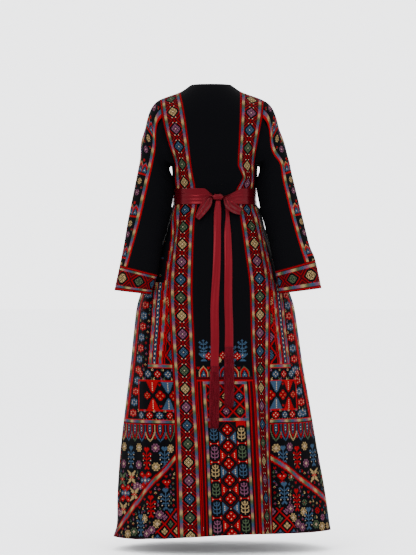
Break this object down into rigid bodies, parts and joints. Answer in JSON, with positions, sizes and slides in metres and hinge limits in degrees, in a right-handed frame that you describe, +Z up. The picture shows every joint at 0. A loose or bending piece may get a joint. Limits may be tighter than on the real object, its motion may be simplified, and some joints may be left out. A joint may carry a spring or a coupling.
{
  "type": "embroidered thobe dress",
  "caption": "Full-length A-line dress with long sleeves and embroidered panels, worn and open at neck, cuffs and hem, with a satin sash tied in a bow at the back.",
  "frame": {"origin": "between the shoulders, halfway from the front to the back and 49 mm below the back of the neck, where the wearer's shoulders carry the dress", "axes": "+Z up, -Y the way the wearer faces, +X to the wearer's left"},
  "size_m": [0.7128, 0.4799, 1.4851],
  "materials": {
    "black_crepe": "matte",
    "cross_stitch": "matte",
    "burgundy_satin": "satin",
    "burgundy_fringe": "matte"
  },
  "bodies": {
    "root": {"back_center": "black_crepe", "back_band_left": "cross_stitch", "back_band_right": "cross_stitch", "side_left": "cross_stitch", "side_right": "cross_stitch", "front_band_left": "cross_stitch", "front_band_right": "cross_stitch", "front_center": "black_crepe", "sleeve_left": "black_crepe", "sleeve_right": "black_crepe", "sleeve_strip_left": "cross_stitch", "sleeve_strip_right": "cross_stitch", "cuff_left": "cross_stitch", "cuff_right": "cross_stitch", "sash_band": "burgundy_satin", "sash_knot": "burgundy_satin", "sash_loop_left": "burgundy_satin", "sash_loop_right": "burgundy_satin", "sash_tail_left": "burgundy_satin", "sash_tail_right": "burgundy_satin", "sash_fringe_left": "burgundy_fringe", "sash_fringe_right": "burgundy_fringe"}
  },
  "joints": []
}
